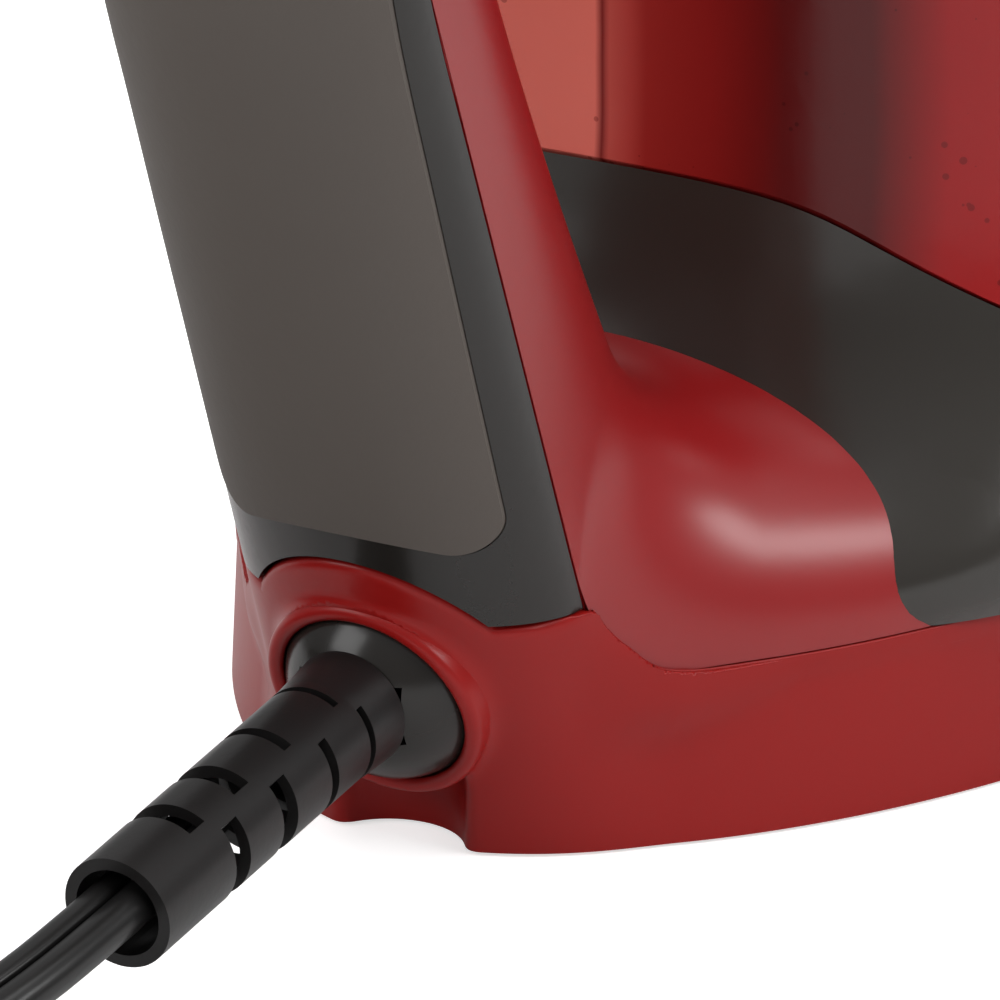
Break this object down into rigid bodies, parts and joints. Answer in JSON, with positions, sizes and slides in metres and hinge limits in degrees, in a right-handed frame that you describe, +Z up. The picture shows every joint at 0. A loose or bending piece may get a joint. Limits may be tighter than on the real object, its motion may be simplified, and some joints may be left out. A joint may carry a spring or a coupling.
{
  "type": "steam iron",
  "caption": "Upright steam iron on its heel: hollow grip handle, translucent tank, soleplate with heater, dial, buttons, filler door and swivelling cord sleeve.",
  "frame": {"origin": "on the resting plane, in the middle of the heel's flat resting face", "axes": "+Z up from the table, +Y from the handle towards the soleplate, +X to the right seen from behind the handle"},
  "size_m": [0.1928, 0.2425, 0.2541],
  "materials": {
    "tank_plastic": "translucent red, clear moulded",
    "band": "dark grey, high gloss",
    "red_shell": "red, satin gloss",
    "red_heel": "red, gloss",
    "black_gloss": "black, gloss",
    "grey_grip": "grey soft grip, matte",
    "black_matte": "black, satin",
    "white_plastic": "natural white",
    "dial": "dark grey, satin",
    "lens": "amber, clear",
    "tank_door": "red, clear moulded",
    "seal_rubber": "grey, matte",
    "steel_sole": "polished steel",
    "cast_alloy": "as cast",
    "element_steel": "oxidised sheath",
    "plate_steel": "galvanised sheet",
    "brass_parts": "plain",
    "screw_steel": "zinc plated",
    "black_rubber": "black, satin",
    "cord_black": "black, satin"
  },
  "bodies": {
    "iron": {"water_tank": "tank_plastic", "lower_housing": "band", "housing_left": "red_shell", "housing_right": "red_shell", "heel_cover": "red_heel", "handle_back_cover": "black_gloss", "grip_pad": "grey_grip", "control_panel": "black_gloss", "steam_pump": "white_plastic", "spray_pump": "white_plastic", "dial_bezel": "black_gloss", "indicator_lens": "lens", "spray_nozzle": "black_matte", "soleplate": "steel_sole", "steam_chamber": "cast_alloy", "heating_element": "element_steel", "chamber_cover": "plate_steel", "heat_shield": "plate_steel", "thermostat": "brass_parts", "thermal_fuse": "white_plastic", "steam_valve": "brass_parts", "sole_screw_1": "screw_steel", "sole_screw_2": "screw_steel", "sole_screw_3": "screw_steel", "ball_retainer": "white_plastic", "terminal_block": "white_plastic", "cord_clamp": "black_matte", "heel_screw_1": "screw_steel", "heel_screw_2": "screw_steel", "cord": "cord_black", "cord_coil": "cord_black", "plug_body": "black_rubber", "plug_prong_1": "brass_parts", "plug_prong_2": "brass_parts"},
    "dial": {"temperature_dial": "dial"},
    "filler_lid": {"filler_door": "tank_door", "filler_seal": "seal_rubber"},
    "steam_push": {"steam_button": "black_matte"},
    "spray_push": {"spray_button": "black_matte"},
    "steam_slide": {"steam_slider": "black_matte"},
    "ball": {"cord_ball": "black_gloss"},
    "sleeve": {"cord_guard": "black_rubber"}
  },
  "joints": [
    {"name": "dial_turn", "type": "hinge", "parent": "iron", "child": "dial", "pos_m": [0, -0.00911, 0.14416], "axis": [0, -0.9925, -0.1219], "range_deg": [-135, 135]},
    {"name": "lid_hinge", "type": "hinge", "parent": "iron", "child": "filler_lid", "pos_m": [0, 0.01348, 0.23488], "axis": [-1, 0, 0], "range_deg": [0, 95]},
    {"name": "steam_press", "type": "slide", "parent": "iron", "child": "steam_push", "axis": [0, 0.7193, -0.6947], "range_m": [0, 0.0032], "stiffness_N_per_m": 300, "springref_m": -0.001},
    {"name": "spray_press", "type": "slide", "parent": "iron", "child": "spray_push", "axis": [0, 0.5299, -0.848], "range_m": [0, 0.0032], "stiffness_N_per_m": 300, "springref_m": -0.001},
    {"name": "steam_select", "type": "slide", "parent": "iron", "child": "steam_slide", "axis": [1, 0, 0], "range_m": [-0.0049, 0.0049]},
    {"name": "cord_swing", "type": "hinge", "parent": "iron", "child": "ball", "pos_m": [0, -0.04169, 0.021], "axis": [0, 0, 1], "range_deg": [-18, 18]},
    {"name": "cord_tilt", "type": "hinge", "parent": "ball", "child": "sleeve", "pos_m": [0, -0.04169, 0.021], "axis": [1, 0, 0], "range_deg": [-8, 6]}
  ]
}
